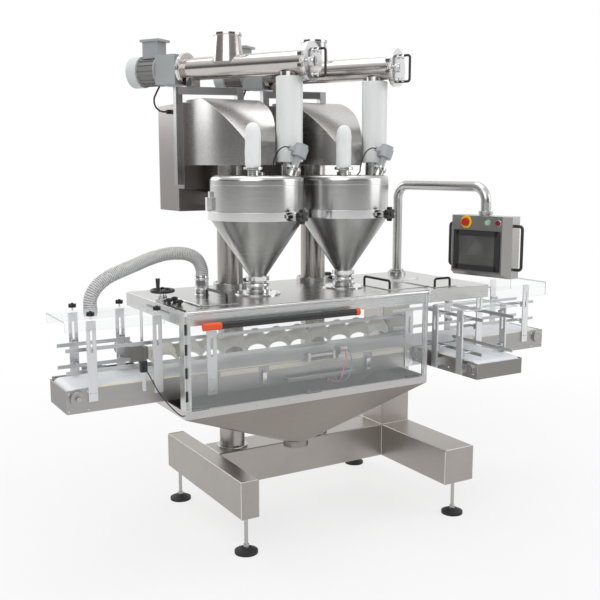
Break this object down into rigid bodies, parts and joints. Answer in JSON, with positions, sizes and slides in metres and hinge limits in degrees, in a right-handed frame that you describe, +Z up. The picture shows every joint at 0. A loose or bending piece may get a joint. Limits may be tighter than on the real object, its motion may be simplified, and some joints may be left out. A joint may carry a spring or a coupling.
{
  "type": "bottle filling machine",
  "caption": "Auger powder filling machine: hoppers with screw feeders over a guarded conveyor, timing screw, dust funnel, swivelling operator panel and a welded base on levelling feet",
  "frame": {"origin": "centre of the whole machine's bounding box, on the floor", "axes": "+Z up; +X along the main conveyor from infeed to outfeed; -Y towards the operator side with the door"},
  "size_m": [2.72, 1.398, 2.406],
  "materials": {
    "base_frame": "brushed stainless sheet",
    "support_columns": "brushed stainless sheet",
    "column_collars": "brushed stainless sheet",
    "conveyor_frames": "brushed stainless sheet",
    "conveyor_belts": "white belt",
    "conveyor_gearmotor": "dark grey paint",
    "guide_posts": "brushed stainless sheet",
    "guide_rails": "brushed stainless sheet",
    "acrylic_tunnels": "clear acrylic",
    "guard_hood": "brushed stainless sheet",
    "dust_tray": "brushed stainless sheet",
    "door_catches": "black plastic",
    "hoppers": "brushed stainless sheet",
    "hopper_lids": "brushed stainless sheet",
    "hopper_clamps": "brushed stainless sheet",
    "fill_spouts": "brushed stainless sheet",
    "rear_cabinet": "brushed stainless sheet",
    "drive_bonnets": "brushed stainless sheet",
    "auger_drives": "dark grey paint",
    "feeder_frames": "brushed stainless sheet",
    "feeder_tubes": "brushed stainless sheet",
    "feeder_gearmotors": "grey enamel",
    "drop_sleeves": "milky flexible sleeve",
    "breather_bags": "white filter cloth",
    "level_sensors": "light grey enamel",
    "screw_supports": "dark grey paint",
    "clamp_knobs": "black plastic",
    "stop_cylinder": "brushed stainless sheet",
    "dust_hose": "ribbed grey hose",
    "signal_cables": "black cable",
    "air_tubes": "coloured tube",
    "foot_front_left": "black rubber",
    "foot_front_right": "black rubber",
    "foot_rear_left": "black rubber",
    "foot_rear_right": "black rubber",
    "main_drive_roller": "brushed stainless sheet",
    "main_tail_roller": "brushed stainless sheet",
    "branch_drive_roller": "brushed stainless sheet",
    "branch_tail_roller": "brushed stainless sheet",
    "timing_screw": "cream engineering plastic",
    "handwheel": "black plastic",
    "front_door": "clear acrylic",
    "roof_lid_left": "brushed stainless sheet",
    "roof_lid_middle": "brushed stainless sheet",
    "roof_lid_right": "brushed stainless sheet",
    "conveyor_cover": "brushed stainless sheet",
    "cover_latch_left": "brushed stainless sheet",
    "cover_latch_right": "brushed stainless sheet",
    "filling_auger_left": "brushed stainless sheet",
    "filling_auger_right": "brushed stainless sheet",
    "feeder_screw_left": "brushed stainless sheet",
    "feeder_screw_right": "brushed stainless sheet",
    "feeder_cover_left": "brushed stainless sheet",
    "feeder_cover_right": "brushed stainless sheet",
    "stop_rod": "brushed stainless sheet",
    "panel_arm": "brushed stainless sheet",
    "panel_box": "brushed stainless sheet",
    "emergency_stop": "red",
    "start_button": "green",
    "stop_button": "red"
  },
  "bodies": {
    "machine": {"base_frame": "base_frame", "support_columns": "support_columns", "column_collars": "column_collars", "conveyor_frames": "conveyor_frames", "conveyor_belts": "conveyor_belts", "conveyor_gearmotor": "conveyor_gearmotor", "guide_posts": "guide_posts", "guide_rails": "guide_rails", "acrylic_tunnels": "acrylic_tunnels", "guard_hood": "guard_hood", "dust_tray": "dust_tray", "door_catches": "door_catches", "hoppers": "hoppers", "hopper_lids": "hopper_lids", "hopper_clamps": "hopper_clamps", "fill_spouts": "fill_spouts", "rear_cabinet": "rear_cabinet", "drive_bonnets": "drive_bonnets", "auger_drives": "auger_drives", "feeder_frames": "feeder_frames", "feeder_tubes": "feeder_tubes", "feeder_gearmotors": "feeder_gearmotors", "drop_sleeves": "drop_sleeves", "breather_bags": "breather_bags", "level_sensors": "level_sensors", "screw_supports": "screw_supports", "clamp_knobs": "clamp_knobs", "stop_cylinder": "stop_cylinder", "dust_hose": "dust_hose", "signal_cables": "signal_cables", "air_tubes": "air_tubes"},
    "foot_front_left_body": {"foot_front_left": "foot_front_left"},
    "foot_front_right_body": {"foot_front_right": "foot_front_right"},
    "foot_rear_left_body": {"foot_rear_left": "foot_rear_left"},
    "foot_rear_right_body": {"foot_rear_right": "foot_rear_right"},
    "main_drive_roller_body": {"main_drive_roller": "main_drive_roller"},
    "main_tail_roller_body": {"main_tail_roller": "main_tail_roller"},
    "branch_drive_roller_body": {"branch_drive_roller": "branch_drive_roller"},
    "branch_tail_roller_body": {"branch_tail_roller": "branch_tail_roller"},
    "timing_screw_body": {"timing_screw": "timing_screw"},
    "handwheel_body": {"handwheel": "handwheel"},
    "front_door_body": {"front_door": "front_door"},
    "roof_lid_left_body": {"roof_lid_left": "roof_lid_left"},
    "roof_lid_middle_body": {"roof_lid_middle": "roof_lid_middle"},
    "roof_lid_right_body": {"roof_lid_right": "roof_lid_right"},
    "conveyor_cover_body": {"conveyor_cover": "conveyor_cover"},
    "cover_latch_left_body": {"cover_latch_left": "cover_latch_left"},
    "cover_latch_right_body": {"cover_latch_right": "cover_latch_right"},
    "filling_auger_left_body": {"filling_auger_left": "filling_auger_left"},
    "filling_auger_right_body": {"filling_auger_right": "filling_auger_right"},
    "feeder_screw_left_body": {"feeder_screw_left": "feeder_screw_left"},
    "feeder_screw_right_body": {"feeder_screw_right": "feeder_screw_right"},
    "feeder_cover_left_body": {"feeder_cover_left": "feeder_cover_left"},
    "feeder_cover_right_body": {"feeder_cover_right": "feeder_cover_right"},
    "stop_rod_body": {"stop_rod": "stop_rod"},
    "panel_arm_body": {"panel_arm": "panel_arm"},
    "panel_box_body": {"panel_box": "panel_box"},
    "emergency_stop_body": {"emergency_stop": "emergency_stop"},
    "start_button_body": {"start_button": "start_button"},
    "stop_button_body": {"stop_button": "stop_button"}
  },
  "joints": [
    {"name": "foot_front_left_joint", "type": "hinge", "parent": "machine", "child": "foot_front_left_body", "pos_m": [-0.566, -0.264, 0.1], "axis": [0, 0, 1], "continuous": true},
    {"name": "foot_front_right_joint", "type": "hinge", "parent": "machine", "child": "foot_front_right_body", "pos_m": [0.5695, -0.391, 0.1], "axis": [0, 0, 1], "continuous": true},
    {"name": "foot_rear_left_joint", "type": "hinge", "parent": "machine", "child": "foot_rear_left_body", "pos_m": [-0.566, 0.51, 0.1], "axis": [0, 0, 1], "continuous": true},
    {"name": "foot_rear_right_joint", "type": "hinge", "parent": "machine", "child": "foot_rear_right_body", "pos_m": [0.5695, 0.51, 0.1], "axis": [0, 0, 1], "continuous": true},
    {"name": "main_drive_roller_joint", "type": "hinge", "parent": "machine", "child": "main_drive_roller_body", "pos_m": [-1.315, -0.089, 0.83], "axis": [0, 1, 0], "continuous": true},
    {"name": "main_tail_roller_joint", "type": "hinge", "parent": "machine", "child": "main_tail_roller_body", "pos_m": [1.315, -0.089, 0.83], "axis": [0, 1, 0], "continuous": true},
    {"name": "branch_drive_roller_joint", "type": "hinge", "parent": "machine", "child": "branch_drive_roller_body", "pos_m": [0.5725, -0.254, 0.834], "axis": [1, 0, 0], "continuous": true},
    {"name": "branch_tail_roller_joint", "type": "hinge", "parent": "machine", "child": "branch_tail_roller_body", "pos_m": [0.5725, -0.658, 0.834], "axis": [1, 0, 0], "continuous": true},
    {"name": "timing_screw_joint", "type": "hinge", "parent": "machine", "child": "timing_screw_body", "pos_m": [-0.26, 0.016, 0.942], "axis": [1, 0, 0], "continuous": true},
    {"name": "handwheel_joint", "type": "hinge", "parent": "machine", "child": "handwheel_body", "pos_m": [-0.885, -0.099, 1.2], "axis": [0, 0, 1], "continuous": true},
    {"name": "front_door_joint", "type": "hinge", "parent": "machine", "child": "front_door_body", "pos_m": [-0.27, -0.408, 1.176], "axis": [-1, 0, 0], "range_deg": [0, 95]},
    {"name": "roof_lid_left_joint", "type": "hinge", "parent": "machine", "child": "roof_lid_left_body", "pos_m": [-0.802, -0.19, 1.1893], "axis": [0, -1, 0], "range_deg": [0, 80]},
    {"name": "roof_lid_middle_joint", "type": "hinge", "parent": "machine", "child": "roof_lid_middle_body", "pos_m": [0.425, -0.184, 1.1893], "axis": [0, 1, 0], "range_deg": [0, 85]},
    {"name": "roof_lid_right_joint", "type": "hinge", "parent": "machine", "child": "roof_lid_right_body", "pos_m": [0.51, -0.049, 1.1893], "axis": [-1, 0, 0], "range_deg": [0, 85]},
    {"name": "conveyor_cover_joint", "type": "slide", "parent": "machine", "child": "conveyor_cover_body", "axis": [0, -1, 0], "range_m": [0, 0.03]},
    {"name": "cover_latch_left_joint", "type": "hinge", "parent": "conveyor_cover_body", "child": "cover_latch_left_body", "pos_m": [-0.442, -0.2253, 0.785], "axis": [1, 0, 0], "range_deg": [0, 100]},
    {"name": "cover_latch_right_joint", "type": "hinge", "parent": "conveyor_cover_body", "child": "cover_latch_right_body", "pos_m": [0.143, -0.2253, 0.785], "axis": [1, 0, 0], "range_deg": [0, 100]},
    {"name": "filling_auger_left_joint", "type": "hinge", "parent": "machine", "child": "filling_auger_left_body", "pos_m": [-0.403, -0.089, 1.5], "axis": [0, 0, 1], "continuous": true},
    {"name": "filling_auger_right_joint", "type": "hinge", "parent": "machine", "child": "filling_auger_right_body", "pos_m": [0.081, -0.089, 1.5], "axis": [0, 0, 1], "continuous": true},
    {"name": "feeder_screw_left_joint", "type": "hinge", "parent": "machine", "child": "feeder_screw_left_body", "pos_m": [-0.34016, 0.04796, 2.25], "axis": [-0.5105, 0.8599, 0], "continuous": true},
    {"name": "feeder_screw_right_joint", "type": "hinge", "parent": "machine", "child": "feeder_screw_right_body", "pos_m": [0.14384, 0.04796, 2.25], "axis": [-0.5105, 0.8599, 0], "continuous": true},
    {"name": "feeder_cover_left_joint", "type": "hinge", "parent": "machine", "child": "feeder_cover_left_body", "pos_m": [-0.27149, -0.26749, 2.25], "axis": [0, 0, -1], "range_deg": [0, 110]},
    {"name": "feeder_cover_right_joint", "type": "hinge", "parent": "machine", "child": "feeder_cover_right_body", "pos_m": [0.21251, -0.26749, 2.25], "axis": [0, 0, -1], "range_deg": [0, 110]},
    {"name": "stop_rod_joint", "type": "slide", "parent": "machine", "child": "stop_rod_body", "axis": [0, 1, 0], "range_m": [0, 0.05]},
    {"name": "panel_arm_joint", "type": "hinge", "parent": "machine", "child": "panel_arm_body", "pos_m": [0.635, 0.201, 1.3], "axis": [0, 0, 1], "range_deg": [-10, 75]},
    {"name": "panel_box_joint", "type": "hinge", "parent": "panel_arm_body", "child": "panel_box_body", "pos_m": [0.67535, -0.45877, 1.5], "axis": [0, 0, 1], "range_deg": [-60, 60]},
    {"name": "emergency_stop_joint", "type": "slide", "parent": "panel_box_body", "child": "emergency_stop_body", "axis": [0.9778, 0.2096, 0], "range_m": [0, 0.004], "stiffness_N_per_m": 400},
    {"name": "start_button_joint", "type": "slide", "parent": "panel_box_body", "child": "start_button_body", "axis": [0.9778, 0.2096, 0], "range_m": [0, 0.003], "stiffness_N_per_m": 400},
    {"name": "stop_button_joint", "type": "slide", "parent": "panel_box_body", "child": "stop_button_body", "axis": [0.9778, 0.2096, 0], "range_m": [0, 0.003], "stiffness_N_per_m": 400}
  ],
  "couplings": [
    {"joint": "main_tail_roller_joint", "follows": "main_drive_roller_joint", "ratio": 1},
    {"joint": "branch_tail_roller_joint", "follows": "branch_drive_roller_joint", "ratio": 1},
    {"joint": "filling_auger_right_joint", "follows": "filling_auger_left_joint", "ratio": 1}
  ]
}
